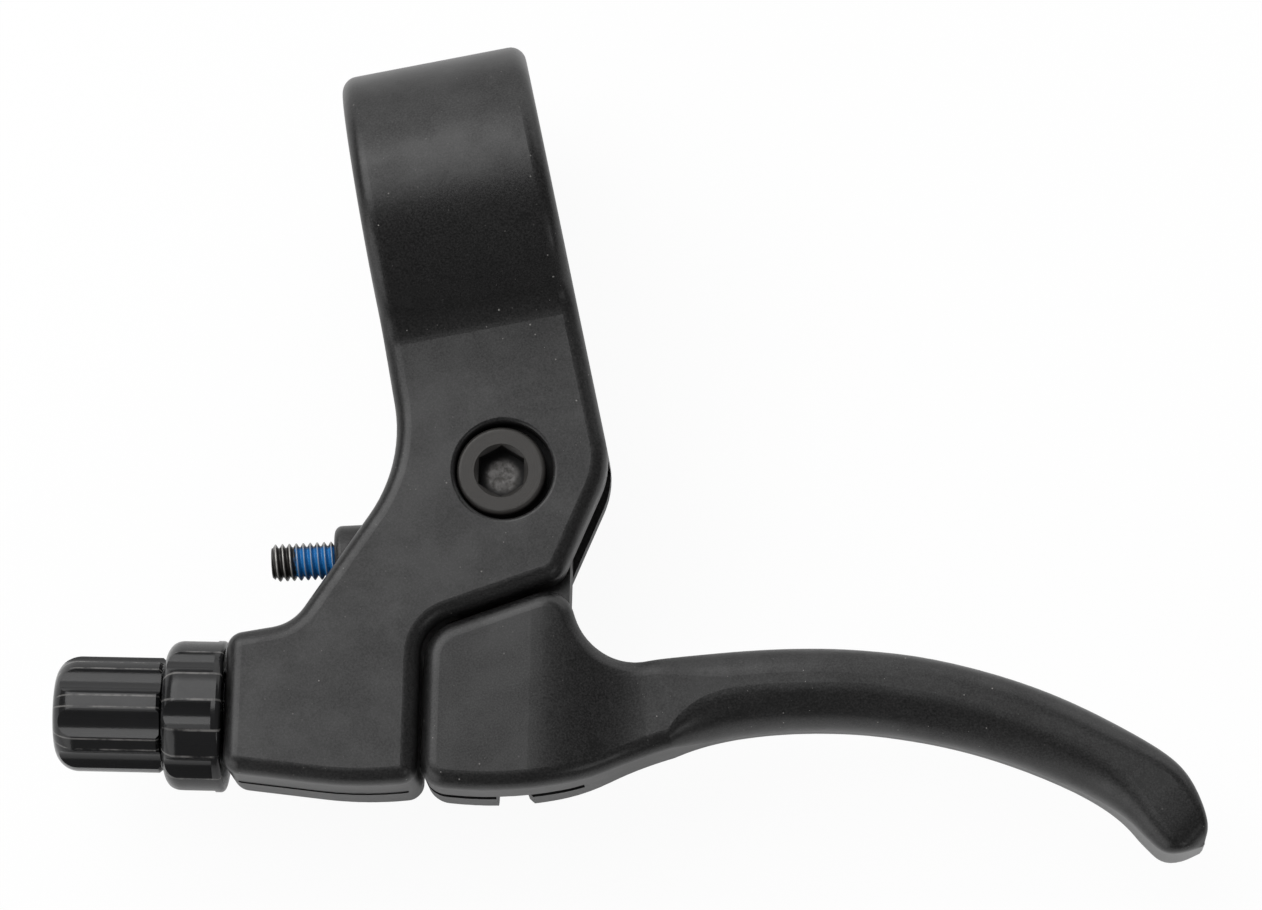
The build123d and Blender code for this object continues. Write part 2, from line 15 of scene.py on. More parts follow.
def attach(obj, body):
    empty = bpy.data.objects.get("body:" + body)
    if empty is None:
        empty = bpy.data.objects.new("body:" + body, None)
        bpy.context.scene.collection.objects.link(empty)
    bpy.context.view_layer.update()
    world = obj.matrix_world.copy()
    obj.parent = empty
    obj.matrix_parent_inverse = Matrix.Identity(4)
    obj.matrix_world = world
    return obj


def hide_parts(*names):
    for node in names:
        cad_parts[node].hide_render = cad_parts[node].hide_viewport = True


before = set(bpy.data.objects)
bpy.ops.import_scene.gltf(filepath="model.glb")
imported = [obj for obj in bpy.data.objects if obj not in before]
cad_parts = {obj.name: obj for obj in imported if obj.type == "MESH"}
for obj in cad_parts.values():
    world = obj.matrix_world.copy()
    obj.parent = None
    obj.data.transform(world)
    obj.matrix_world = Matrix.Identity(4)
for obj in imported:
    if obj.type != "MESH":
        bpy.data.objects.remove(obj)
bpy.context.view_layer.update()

bl_info = {
    "name": "Brake lever looks",
    "version": (1, 0, 0),
    "blender": (4, 5, 0),
    "location": "3D View > Sidebar > Brake lever",
    "description": "Dresses the packed brake lever with its finishes, threads and studio",
    "category": "Object",
}

MM = 0.001
PHOTO_WIDTH = 1262
PHOTO_HEIGHT = 910

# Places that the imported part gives, in millimetres and degrees
PIVOT = Vector((-0.75, -30.8, 0.0))
CABLE_TURN = -12.2
CABLE_ARM = 25.7
REACH_TURN = 4.0
REACH_ARM = 7.4
REACH_START = -25.0
BARREL_SEAT = -35.25
SOCKET_FLOOR = 4.0
SOCKET_RIM = 6.9
SOCKET_RADIUS = 2.6
RECESS_RADIUS = 5.6
RECESS_RIM = 7.1

# Ridges of the adjuster's two pieces: count, turn of a groove and half a ridge's width in degrees
BARREL_RIDGES = (8, 18.0, 5.9)
NUT_RIDGES = (8, 8.0, 10.8)

# Reach screw's chamfer and bare tip, and how many faces a thread has along one pitch
REACH_CHAMFER = 0.4
REACH_BARE = 2.4
FACES_A_PITCH = 14
CREASE = math.radians(24)

# Sizes of the finishes' noise in waves a millimetre
PAINT_GRAIN = 5.0
PAINT_PEEL = 1.1
PAINT_MOTTLE = 0.45
PAINT_CLOUDS = 0.12
DUST_DRIFT = 0.09
ANODISED_GRAIN = 4.0
STEEL_GRAIN = 6.0
METAL_CLOUDS = 0.5
SOCKET_HAMMERING = 1.5
PATCH_EDGE = 1.6
BUSH_GRAIN = 3.0
NOISE_MIDDLE = 0.5

# Cell of a dust speck and of a lint speck in millimetres, with the share of cells that hold one
DUST = (1.0, 0.6)
LINT = (0.5, 0.35)

# Turned rings on the pivot's head in radians a millimetre, and the gloss of the small parts
TURNING = 22.0
ANODISED_GLOSS = 0.33
STEEL_GLOSS = 0.4

# Depth of each finish's relief in metres
PAINT_RELIEF = 12e-6
FINE_RELIEF = 8e-6
ROUGH_RELIEF = 10e-6

# White table: half its side and the reach of the object's shadow on it in metres
TABLE_HALF = 4.0
SHADOW_REACH = 0.06
TABLE_WHITE = (0.9, 0.9, 0.9, 1.0)
WHITE = (1.0, 1.0, 1.0, 1.0)

# Studio lamps seen from the pivot: power in watts, sides and reach in metres, and the turns from overhead
# in degrees
LAMPS = {
    "key softbox": {
        "power": 19.5, "width": 1.46, "length": 1.28, "reach": 1.5,
        "to_bar": 25.0, "to_blade": -25.5},
    "back softbox": {
        "power": 16.5, "width": 3.4, "length": 1.24, "reach": 1.5,
        "to_bar": 66.0, "to_blade": 8.0},
    "left card": {
        "power": 11.0, "width": 1.5, "length": 1.5, "reach": 1.5,
        "to_bar": -68.0, "to_blade": -51.0},
    "edge lamp": {
        "power": 0.7, "width": 0.2, "length": 0.2, "reach": 1.2,
        "to_bar": -46.0, "to_blade": 36.0},
}


def lever_frame():
    """Return the matrix from the lever frame, in millimetres, to the part's frame."""
    turn = Matrix.Rotation(math.radians(CABLE_TURN), 4, "Z")
    return Matrix.Scale(MM, 4) @ Matrix.Translation(PIVOT) @ turn


def reach_frame():
    """Return the matrix from the reach screw's frame, +X along it, to the part's frame."""
    turn = Matrix.Rotation(math.radians(REACH_TURN), 4, "Z")
    return lever_frame() @ turn @ Matrix.Translation((0, -REACH_ARM, 0))


def cable_frame():
    """Return the matrix from the cable's frame, +X along it, to the part's frame."""
    return lever_frame() @ Matrix.Translation((0, -CABLE_ARM, 0))


class PaintSettings(bpy.types.PropertyGroup):
    """Black finishes of the lever and its small parts."""

    paint: FloatVectorProperty(
        name="Paint", description="Colour of the satin paint", subtype="COLOR",
        size=3, min=0, max=1, default=(0.0105, 0.0103, 0.0104))
    paint_roughness: FloatProperty(
        name="Paint roughness", description="Mean roughness of the satin paint",
        subtype="FACTOR", min=0, max=1, default=0.36)
    dust: FloatVectorProperty(
        name="Dust", description="Colour of the dust specks", subtype="COLOR",
        size=3, min=0, max=1, default=(0.3, 0.29, 0.28))
    # Painted shade: this dark colour darkens the recess round the pivot's head and the walls of the pivot's
    # key socket.
    painted_shade: FloatVectorProperty(
        name="Painted_shade", description="Colour of the old grease round the pivot's head", subtype="COLOR",
        size=3, min=0, max=1, default=(0.002, 0.002, 0.002))
    anodised: FloatVectorProperty(
        name="Anodised", description="Colour of the adjuster", subtype="COLOR",
        size=3, min=0, max=1, default=(0.009, 0.009, 0.0095))
    worn: FloatVectorProperty(
        name="Worn ridges", description="Colour where handling has thinned the black", subtype="COLOR",
        size=3, min=0, max=1, default=(0.16, 0.155, 0.15))
    oxide: FloatVectorProperty(
        name="Black oxide", description="Colour of the blackened steel", subtype="COLOR",
        size=3, min=0, max=1, default=(0.035, 0.033, 0.031))
    # Painted highlight: a lighter colour on the floor of the pivot's key socket, mixed in a hammered
    # pattern.
    socket_floor_highlight: FloatVectorProperty(
        name="Socket floor", description="Colour of the worn floor of the pivot's key socket",
        subtype="COLOR", size=3, min=0, max=1, default=(0.09, 0.087, 0.085))
    locking_patch: FloatVectorProperty(
        name="Locking patch", description="Colour of the reach screw's locking patch", subtype="COLOR",
        size=3, min=0, max=1, default=(0.005, 0.125, 0.36))
    # Painted highlight: lighter blue flecks scattered over the locking patch.
    patch_highlight: FloatVectorProperty(
        name="Patch light", description="Colour of the thin places of the locking patch", subtype="COLOR",
        size=3, min=0, max=1, default=(0.03, 0.27, 0.6))
    # Painted highlight: a bright grey on the crests of the reach screw's thread.
    crest: FloatVectorProperty(
        name="Crest", description="Colour of the bright crests of the reach screw's thread",
        subtype="COLOR", size=3, min=0, max=1, default=(0.45, 0.44, 0.42))
    bush: FloatVectorProperty(
        name="Bush", description="Colour of the pivot bushes", subtype="COLOR",
        size=3, min=0, max=1, default=(0.04, 0.04, 0.042))


class ThreadSettings(bpy.types.PropertyGroup):
    """Screw threads that the solids leave plain."""

    reach_radius: FloatProperty(
        name="Reach radius", description="Crest radius of the reach screw in millimetres", default=2.0)
    reach_pitch: FloatProperty(
        name="Reach pitch", description="Pitch of the reach screw in millimetres", default=0.74)
    reach_depth: FloatProperty(
        name="Reach depth", description="Thread depth of the reach screw in millimetres", default=0.42)
    reach_length: FloatProperty(
        name="Reach length", description="Length of the reach screw in millimetres", default=20.0)
    barrel_radius: FloatProperty(
        name="Barrel radius", description="Crest radius of the barrel's thread in millimetres", default=4.9)
    barrel_pitch: FloatProperty(
        name="Barrel pitch", description="Pitch of the barrel's thread in millimetres", default=1.0)
    barrel_depth: FloatProperty(
        name="Barrel depth", description="Thread depth of the barrel in millimetres", default=0.6)
    barrel_length: FloatProperty(
        name="Barrel length", description="Length of the barrel's thread in millimetres", default=18.95)
    steps: IntProperty(
        name="Steps a turn", description="Faces around one turn of a thread", min=12, default=64)


class StageSettings(bpy.types.PropertyGroup):
    """Camera, lamps and table."""

    scale: FloatProperty(
        name="Scale", description="Pixels of the photograph for a millimetre at the pivot", default=9.4)
    distance: FloatProperty(
        name="Distance", description="Camera's distance from the pivot", unit="LENGTH", default=0.65)
    tilt: FloatProperty(
        name="Tilt", description="How far the camera stands below the front face's normal",
        subtype="ANGLE", default=math.radians(11.5))
    swing: FloatProperty(
        name="Swing", description="How far the camera stands to the blade's side",
        subtype="ANGLE", default=math.radians(2.0))
    roll: FloatProperty(
        name="Roll", description="Turn of the picture from the part's X axis",
        subtype="ANGLE", default=math.radians(-10.7))
    pivot_column: FloatProperty(
        name="Pivot column", description="Pixel column of the pivot in the photograph", default=504.7)
    pivot_row: FloatProperty(
        name="Pivot row", description="Pixel row of the pivot in the photograph", default=483.4)
    lamp_share: FloatProperty(
        name="Lamps", description="Share of the lamps' power", min=0, default=1.0)
    ambient: FloatProperty(
        name="Ambient", description="Brightness of the room around the table", default=0.2)
    table_drop: FloatProperty(
        name="Table drop", description="Table's depth under the handlebar bore",
        unit="LENGTH", default=0.0158)
    shadow: FloatProperty(
        name="Shadow", description="Share of the table's look that takes the shadow",
        subtype="FACTOR", min=0, max=1, default=0.06)
    mirrored: FloatProperty(
        name="Mirrored", description="Share of the table's white that polished surfaces mirror",
        subtype="FACTOR", min=0, max=1, default=0.18)


class Value:
    """A shader socket on which Python's operators add Math nodes."""

    def __init__(self, sheet, socket):
        self.sheet = sheet
        self.socket = socket

    def math(self, operation, *others):
        return self.sheet.node("ShaderNodeMath", {"operation": operation}, list(others))

    def __add__(self, other):
        return self.math("ADD", self, other)

    def __radd__(self, other):
        return self.math("ADD", other, self)

    def __sub__(self, other):
        return self.math("SUBTRACT", self, other)

    def __rsub__(self, other):
        return self.math("SUBTRACT", other, self)

    def __mul__(self, other):
        return self.math("MULTIPLY", self, other)

    def __rmul__(self, other):
        return self.math("MULTIPLY", other, self)

    def __truediv__(self, other):
        return self.math("DIVIDE", self, other)

    def __rtruediv__(self, other):
        return self.math("DIVIDE", other, self)

    def __abs__(self):
        return self.math("ABSOLUTE", self)

    def __lt__(self, other):
        return self.math("LESS_THAN", self, other)

    def centred(self):
        """Return noise about its middle."""
        return self - NOISE_MIDDLE

    def clamp(self):
        return self.sheet.node("ShaderNodeClamp", {}, [self])

    def ramp(self, low, high):
        """Return 0 below low, 1 above high and a smooth step between."""
        settings = {"interpolation_type": "SMOOTHSTEP"}
        sockets = {"Value": self, "From Min": low, "From Max": high}
        return self.sheet.node("ShaderNodeMapRange", settings, sockets)


class Sheet:
    """A node tree that is written as expressions."""

    def __init__(self, tree):
        self.tree = tree
        self.tree.nodes.clear()

    def node(self, kind, settings, sockets, out=0):
        """Add a node, set its settings, then its sockets, and return one of its outputs."""
        added = self.tree.nodes.new(kind)
        for key, value in settings.items():
            setattr(added, key, value)
        pairs = sockets.items() if isinstance(sockets, dict) else enumerate(sockets)
        for key, value in pairs:
            target = added.inputs[key]
            if isinstance(value, Value):
                self.tree.links.new(value.socket, target)
            elif value is not None:
                target.default_value = value
        return Value(self, added.outputs[out]) if len(added.outputs) else None

    def vector(self, operation, *others, out=0):
        return self.node("ShaderNodeVectorMath", {"operation": operation}, list(others), out)

    def noise(self, place, scale, detail=2.0, rough=0.5):
        """Return smooth noise from 0 to 1, scale being in waves for each unit of place."""
        settings = {"noise_dimensions": "3D", "normalize": True}
        return self.node("ShaderNodeTexNoise", settings,
                         {"Vector": place, "Scale": scale, "Detail": detail, "Roughness": rough}, "Fac")

    def blend(self, share, first, second):
        """Return a mix of two colours."""
        settings = {"data_type": "RGBA", "blend_type": "MIX", "clamp_factor": True}
        added = self.tree.nodes.new("ShaderNodeMix")
        for key, value in settings.items():
            setattr(added, key, value)
        ends = {0: share, 6: first, 7: second}
        for index, value in ends.items():
            if isinstance(value, Value):
                self.tree.links.new(value.socket, added.inputs[index])
            else:
                added.inputs[index].default_value = value if index == 0 else (*value[:3], 1.0)
        return Value(self, added.outputs[2])


def finish(name):
    """Return a new material with an empty sheet and the part's place in millimetres."""
    material = bpy.data.materials.new(name)
    material.use_nodes = True
    sheet = Sheet(material.node_tree)
    place = sheet.node("ShaderNodeTexCoord", {}, {}, "Object")
    return material, sheet, sheet.vector("SCALE", place, None, None, 1.0 / MM)


def coat(sheet, color, roughness, height, depth, metallic=0.0, gloss=0.5):
    """End a finish in a surface with a bump of the given depth in metres."""
    bump = {"Strength": 1.0, "Distance": depth, "Height": height}
    normal = sheet.node("ShaderNodeBump", {}, bump, "Normal")
    surface = sheet.node("ShaderNodeBsdfPrincipled", {}, {
        "Base Color": color, "Roughness": roughness, "Metallic": metallic,
        "Specular IOR Level": gloss, "Normal": normal})
    sheet.node("ShaderNodeOutputMaterial", {}, {"Surface": surface})


def pivot_place(sheet, place):
    """Return the distance from the pivot's axis and the height, both in millimetres."""
    across = sheet.vector("MULTIPLY", sheet.vector("SUBTRACT", place, tuple(PIVOT)), (1.0, 1.0, 0.0))
    return sheet.vector("LENGTH", across, out="Value"), sheet.node("ShaderNodeSeparateXYZ", {}, [place], 2)


def specks(sheet, place, size, share):
    """Return a mask of small round specks, one cell in 1/share holding one."""
    settings = {"feature": "F1", "voronoi_dimensions": "3D"}
    sockets = {"Vector": place, "Scale": 1.0 / size, "Randomness": 1.0}
    distance = sheet.node("ShaderNodeTexVoronoi", settings, sockets, "Distance")
    draw = sheet.node("ShaderNodeTexVoronoi", settings, sockets, "Color")
    pick = sheet.node("ShaderNodeSeparateColor", {}, [draw], 0)
    reach = sheet.node("ShaderNodeSeparateColor", {}, [draw], 1)
    radius = 0.05 + 0.08 * reach * reach
    return (1.0 - (distance / radius).ramp(0.6, 1.0)) * (pick < share)


def satin_paint(name, settings):
    """Return the satin black paint of the casting and the forging, with painted shade in the recess round
    the pivot's head.
    """
    material, sheet, place = finish(name)
    grain = sheet.noise(place, PAINT_GRAIN, 3.0, 0.65)
    peel = sheet.noise(place, PAINT_PEEL, 2.0, 0.5)
    mottle = sheet.noise(place, PAINT_MOTTLE, 3.0, 0.6)
    clouds = sheet.noise(place, PAINT_CLOUDS, 3.0, 0.6)
    drift = sheet.noise(place, DUST_DRIFT, 3.0, 0.6).ramp(0.46, 0.62)
    dust = specks(sheet, place, *DUST)
    lint = specks(sheet, place, *LINT)
    spots = (dust * (0.15 + 0.85 * drift) + 0.7 * lint * drift).clamp()
    radius, height = pivot_place(sheet, place)
    # Painted shade: the recess round the pivot's head takes the dark shade colour and a rougher surface.
    within = 1.0 - radius.ramp(RECESS_RADIUS, RECESS_RADIUS + 0.4)
    painted_shade = within * (1.0 - height.ramp(RECESS_RIM - 0.6, RECESS_RIM))
    film = 6.0 * grain.centred() + 3.0 * mottle.centred() + 2.0 * clouds.centred()
    shade = film.math("MAXIMUM", 1.0 + film, 0.15)
    paint = sheet.vector("SCALE", tuple(settings.paint), None, None, shade)
    color = sheet.blend(0.8 * spots, sheet.blend(painted_shade, paint, settings.painted_shade), settings.dust)
    unevenness = 0.1 * clouds.centred() + 0.12 * grain.centred()
    roughness = settings.paint_roughness + unevenness + 0.3 * spots + 0.4 * painted_shade
    relief = grain * 0.55 + peel * 0.45 + spots * 0.6
    dull = (0.6 * clouds + 0.4 * mottle).ramp(0.38, 0.62)
    coat(sheet, color, roughness, relief, PAINT_RELIEF, 0.38 * dull)
    return material


def anodised(name, settings, count, turn, half_ridge):
    """Return the glossier black of the adjuster, worn along the edges of its ridges."""
    material, sheet, place = finish(name)
    axis = cable_frame()
    local = sheet.node("ShaderNodeMapping", {"vector_type": "TEXTURE"}, {
        "Vector": place, "Location": axis.to_translation() / MM, "Rotation": axis.to_euler()})
    y = sheet.node("ShaderNodeSeparateXYZ", {}, [local], 1)
    z = sheet.node("ShaderNodeSeparateXYZ", {}, [local], 2)
    grain = sheet.noise(place, ANODISED_GRAIN, 3.0, 0.6)
    clouds = sheet.noise(place, METAL_CLOUDS, 4.0, 0.6)
    pitch = 360.0 / count
    angle = y.math("ARCTAN2", -1.0 * y, z) * (180.0 / math.pi) - turn
    from_groove = abs(angle.math("WRAP", angle, pitch / 2, -pitch / 2))
    from_edge = abs(from_groove - (pitch / 2 - half_ridge))
    wear = (1.0 - from_edge.ramp(0.3, 1.3)) * clouds.ramp(0.36, 0.62)
    color = sheet.blend(wear * 0.8, settings.anodised, settings.worn)
    roughness = 0.19 + 0.12 * grain.centred() + 0.14 * clouds.centred() + 0.15 * wear
    coat(sheet, color, roughness, grain, FINE_RELIEF, gloss=ANODISED_GLOSS)
    return material


def black_oxide(name, settings):
    """Return blackened steel with the rings of turning, a painted highlight on the floor of the pivot's key
    socket and painted shade on its walls.
    """
    material, sheet, place = finish(name)
    grain = sheet.noise(place, STEEL_GRAIN, 3.0, 0.6)
    clouds = sheet.noise(place, METAL_CLOUDS, 3.0, 0.6)
    hammered = sheet.noise(place, SOCKET_HAMMERING, 2.0, 0.5)
    radius, height = pivot_place(sheet, place)
    floor = (1.0 - radius.ramp(1.3, 2.2)) * (1.0 - height.ramp(SOCKET_FLOOR, SOCKET_FLOOR + 0.3))
    within = 1.0 - radius.ramp(SOCKET_RADIUS, SOCKET_RADIUS + 0.3)
    inside = within * (1.0 - height.ramp(SOCKET_RIM - 0.6, SOCKET_RIM))
    walls = inside * (1.0 - floor)
    rings = radius.math("SINE", radius * TURNING) * (1.0 - inside)
    shade = 0.75 + 0.5 * clouds
    oxide = sheet.vector("SCALE", tuple(settings.oxide), None, None, shade)
    # Painted shade on the walls of the key socket.
    dark = sheet.blend(0.9 * walls, oxide, settings.painted_shade)
    # Painted highlight on the floor of the key socket, in a hammered pattern.
    color = sheet.blend(floor * hammered.ramp(0.3, 0.7), dark, settings.socket_floor_highlight)
    roughness = 0.44 + 0.12 * grain.centred() + 0.1 * clouds.centred() - 0.1 * floor + 0.2 * walls
    relief = grain + 0.12 * rings + 5.0 * floor * hammered
    coat(sheet, color, roughness, relief, FINE_RELIEF, 0.3 + 0.3 * floor, gloss=STEEL_GLOSS)
    return material


def reach_finish(name, settings, thread):
    """Return blackened steel with a painted highlight on the thread's crests and a blue locking patch
    flecked with painted highlight.
    """
    material, sheet, place = finish(name)
    axis = reach_frame()
    local = sheet.node("ShaderNodeMapping", {"vector_type": "TEXTURE"}, {
        "Vector": place, "Location": axis.to_translation() / MM, "Rotation": axis.to_euler()})
    along = sheet.node("ShaderNodeSeparateXYZ", {}, [local], 0)
    side = sheet.node("ShaderNodeSeparateXYZ", {}, [local], 1)
    across = sheet.vector("MULTIPLY", local, (0.0, 1.0, 1.0))
    radius = sheet.vector("LENGTH", across, out="Value")
    grain = sheet.noise(place, STEEL_GRAIN, 3.0, 0.6)
    edge = sheet.noise(place, PATCH_EDGE, 3.0, 0.6)
    crest = radius.ramp(thread.reach_radius - 0.1, thread.reach_radius)
    start = REACH_START + REACH_BARE + 1.1 * edge.centred()
    patch = (along - start).ramp(0.0, 0.35) * (1.0 - (side + 0.5 * edge).ramp(1.2, 1.75))
    # Painted highlight: the thread's crests take a bright grey.
    bare = sheet.blend(crest * 0.8, settings.oxide, settings.crest)
    # Painted highlight: lighter blue flecks on the locking patch.
    blue = sheet.blend(grain.ramp(0.45, 0.8), settings.locking_patch, settings.patch_highlight)
    cover = patch * (1.0 - 0.55 * crest)
    color = sheet.blend(cover, bare, blue)
    roughness = 0.34 + 0.2 * grain.centred() + 0.12 * cover
    metallic = 0.55 * (1.0 - cover)
    coat(sheet, color, roughness, grain, ROUGH_RELIEF, metallic)
    return material


def plain_bush(name, settings):
    """Return the moulded plastic of the bushes."""
    material, sheet, place = finish(name)
    grain = sheet.noise(place, BUSH_GRAIN, 3.0, 0.6)
    shade = 0.8 + 0.4 * grain
    color = sheet.vector("SCALE", tuple(settings.bush), None, None, shade)
    coat(sheet, color, 0.5 + 0.1 * grain.centred(), grain, ROUGH_RELIEF)
    return material


class TreeWriter:
    """Geometry node tree with named inputs that is written as expressions."""

    def __init__(self, name, inputs):
        self.tree = bpy.data.node_groups.new(name, "GeometryNodeTree")
        face = self.tree.interface
        face.new_socket("Geometry", in_out="OUTPUT", socket_type="NodeSocketGeometry")
        self.keys = {}
        for label, kind in inputs:
            self.keys[label] = face.new_socket(label, in_out="INPUT", socket_type=kind).identifier
        self.entry = self.tree.nodes.new("NodeGroupInput")
        self.end = self.tree.nodes.new("NodeGroupOutput")

    def given(self, label):
        return self.entry.outputs[label]

    def node(self, kind, settings, sockets, out=0):
        added = self.tree.nodes.new(kind)
        for key, value in settings.items():
            setattr(added, key, value)
        pairs = sockets.items() if isinstance(sockets, dict) else enumerate(sockets)
        for key, value in pairs:
            if isinstance(value, bpy.types.NodeSocket):
                self.tree.links.new(value, added.inputs[key])
            elif value is not None:
                added.inputs[key].default_value = value
        return added.outputs[out]

    def math(self, operation, *terms):
        return self.node("ShaderNodeMath", {"operation": operation}, list(terms))

    def close(self, geometry, material):
        """End the tree in Realize Instances and Set Material."""
        real = self.node("GeometryNodeRealizeInstances", {}, [geometry])
        dressed = self.node("GeometryNodeSetMaterial", {}, {"Geometry": real, "Material": material})
        self.tree.links.new(dressed, self.end.inputs[0])


def thread_tree():
    """Return the tree of a screw thread along +X that starts at the origin."""
    inputs = [("Radius", "NodeSocketFloat"), ("Depth", "NodeSocketFloat"), ("Pitch", "NodeSocketFloat"),
              ("Length", "NodeSocketFloat"), ("Chamfer", "NodeSocketFloat"), ("Around", "NodeSocketInt"),
              ("Along", "NodeSocketInt"), ("Material", "NodeSocketMaterial")]
    writer = TreeWriter("screw thread", inputs)
    given = writer.given
    grid = writer.node("GeometryNodeMeshGrid", {}, {
        "Size X": 1.0, "Size Y": 1.0, "Vertices X": given("Along"), "Vertices Y": given("Around")})
    spot = writer.node("GeometryNodeInputPosition", {}, {})
    share = writer.math("ADD", writer.node("ShaderNodeSeparateXYZ", {}, [spot], 0), 0.5)
    turn = writer.math("ADD", writer.node("ShaderNodeSeparateXYZ", {}, [spot], 1), 0.5)
    along = writer.math("MULTIPLY", share, given("Length"))
    phase = writer.math("SUBTRACT", writer.math("DIVIDE", along, given("Pitch")), turn)
    wave = writer.math("ABSOLUTE", writer.math("SUBTRACT", writer.math("FRACT", phase), 0.5))
    groove = writer.node("ShaderNodeMapRange", {}, {"Value": wave, "From Min": 0.07, "From Max": 0.42})
    cut = writer.math("MULTIPLY", groove, given("Depth"))
    thread = writer.math("SUBTRACT", given("Radius"), cut)
    margin = writer.math("MINIMUM", along, writer.math("SUBTRACT", given("Length"), along))
    mouth = writer.math("SUBTRACT", given("Radius"), given("Chamfer"))
    cone = writer.math("ADD", mouth, margin)
    near = writer.math("MINIMUM", thread, cone)
    settle = writer.node("ShaderNodeMapRange", {}, {
        "Value": margin, "From Min": 0.0, "From Max": 0.2, "To Min": mouth, "To Max": near})
    angle = writer.math("MULTIPLY", turn, 2.0 * math.pi)
    y = writer.math("MULTIPLY", settle, writer.math("COSINE", angle))
    z = writer.math("MULTIPLY", settle, writer.math("SINE", angle))
    target = writer.node("ShaderNodeCombineXYZ", {}, [along, y, z])
    moved = writer.node("GeometryNodeSetPosition", {}, {"Geometry": grid, "Position": target})
    closed = writer.node("GeometryNodeMergeByDistance", {}, {"Geometry": moved, "Distance": 0.0005})
    smooth = writer.node("GeometryNodeSetShadeSmooth", {}, [closed])
    writer.close(smooth, given("Material"))
    return writer


def grown(name, writer, values):
    """Return the plain mesh that a geometry tree gives for its named values."""
    holder = bpy.data.objects.new(name, bpy.data.meshes.new(name))
    bpy.context.scene.collection.objects.link(holder)
    modifier = holder.modifiers.new(name, "NODES")
    modifier.node_group = writer.tree
    for label, value in values.items():
        modifier[writer.keys[label]] = value
    bpy.context.view_layer.update()
    shown = holder.evaluated_get(bpy.context.evaluated_depsgraph_get())
    mesh = bpy.data.meshes.new_from_object(shown)
    bpy.data.objects.remove(holder)
    if not mesh.polygons:
        raise RuntimeError(f"{name} came out empty")
    return mesh


def turned_outwards(mesh, place):
    """Put a closed strip mesh in its place with its faces pointing out."""
    mesh.transform(place)
    work = bmesh.new()
    work.from_mesh(mesh)
    bmesh.ops.recalc_face_normals(work, faces=work.faces)
    work.to_mesh(mesh)
    work.free()
    return mesh


def copied(node, place, dropped):
    """Return a merged copy of a node's mesh without the faces that dropped names by their middle."""
    back = place.inverted()
    work = bmesh.new()
    work.from_mesh(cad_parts[node].data)
    bmesh.ops.remove_doubles(work, verts=work.verts, dist=1e-6)
    gone = [face for face in work.faces if dropped(back @ face.calc_center_median())]
    bmesh.ops.delete(work, geom=gone, context="FACES")
    for face in work.faces:
        face.smooth = True
    for edge in work.edges:
        edge.smooth = len(edge.link_faces) == 2 and edge.calc_face_angle(0.0) < CREASE
    mesh = bpy.data.meshes.new(node)
    work.to_mesh(mesh)
    work.free()
    return mesh


def joined(name, meshes, material):
    """Return one linked object made of several meshes."""
    work = bmesh.new()
    for mesh in meshes:
        work.from_mesh(mesh)
    for face in work.faces:
        face.material_index = 0
    mesh = bpy.data.meshes.new(name)
    work.to_mesh(mesh)
    work.free()
    mesh.materials.clear()
    mesh.materials.append(material)
    piece = bpy.data.objects.new(name, mesh)
    bpy.context.scene.collection.objects.link(piece)
    return piece


def off_axis(point):
    """Return a point's distance from the X axis."""
    return math.hypot(point.y, point.z)


def paint_node(name, material):
    """Give a node of the part its finish."""
    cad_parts[name].material_slots[0].material = material


class BRAKE_OT_castings(bpy.types.Operator):
    """Paint the bracket and the lever"""

    bl_idname = "brake.castings"
    bl_label = "Bracket and lever"

    def execute(self, context):
        settings = context.scene.brake_paint
        paint_node("bracket", satin_paint("bracket satin black", settings))
        paint_node("lever", satin_paint("lever satin black", settings))
        return {"FINISHED"}


class BRAKE_OT_fasteners(bpy.types.Operator):
    """Finish the pivot bolt, its nut, the clamp bolt and the bushes"""

    bl_idname = "brake.fasteners"
    bl_label = "Fasteners and bushes"

    def execute(self, context):
        settings = context.scene.brake_paint
        steel = black_oxide("black oxide steel", settings)
        for name in ("pivot_bolt", "pivot_nut", "clamp_bolt"):
            paint_node(name, steel)
        plastic = plain_bush("bush plastic", settings)
        for name in ("pivot_bush_front", "pivot_bush_back"):
            paint_node(name, plastic)
        return {"FINISHED"}


class BRAKE_OT_reach_screw(bpy.types.Operator):
    """Cut the reach screw's thread and give it its blue patch"""

    bl_idname = "brake.reach_screw"
    bl_label = "Reach screw"

    def execute(self, context):
        thread = context.scene.brake_thread
        material = reach_finish("reach screw steel", context.scene.brake_paint, thread)
        place = reach_frame()
        mesh = grown("reach_thread", thread_tree(), {
            "Radius": thread.reach_radius, "Depth": thread.reach_depth, "Pitch": thread.reach_pitch,
            "Length": thread.reach_length, "Chamfer": REACH_CHAMFER, "Around": thread.steps + 1,
            "Along": int(thread.reach_length / thread.reach_pitch * FACES_A_PITCH) + 1,
            "Material": material})
        turned_outwards(mesh, place @ Matrix.Translation((REACH_START, 0, 0)))
        rim = thread.reach_radius - REACH_CHAMFER
        ends = copied("reach_screw", place, lambda spot: off_axis(spot) > rim + 0.01)
        piece = joined("reach_screw_threaded", [mesh, ends], material)
        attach(piece, "reach_screw")
        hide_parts("reach_screw")
        return {"FINISHED"}


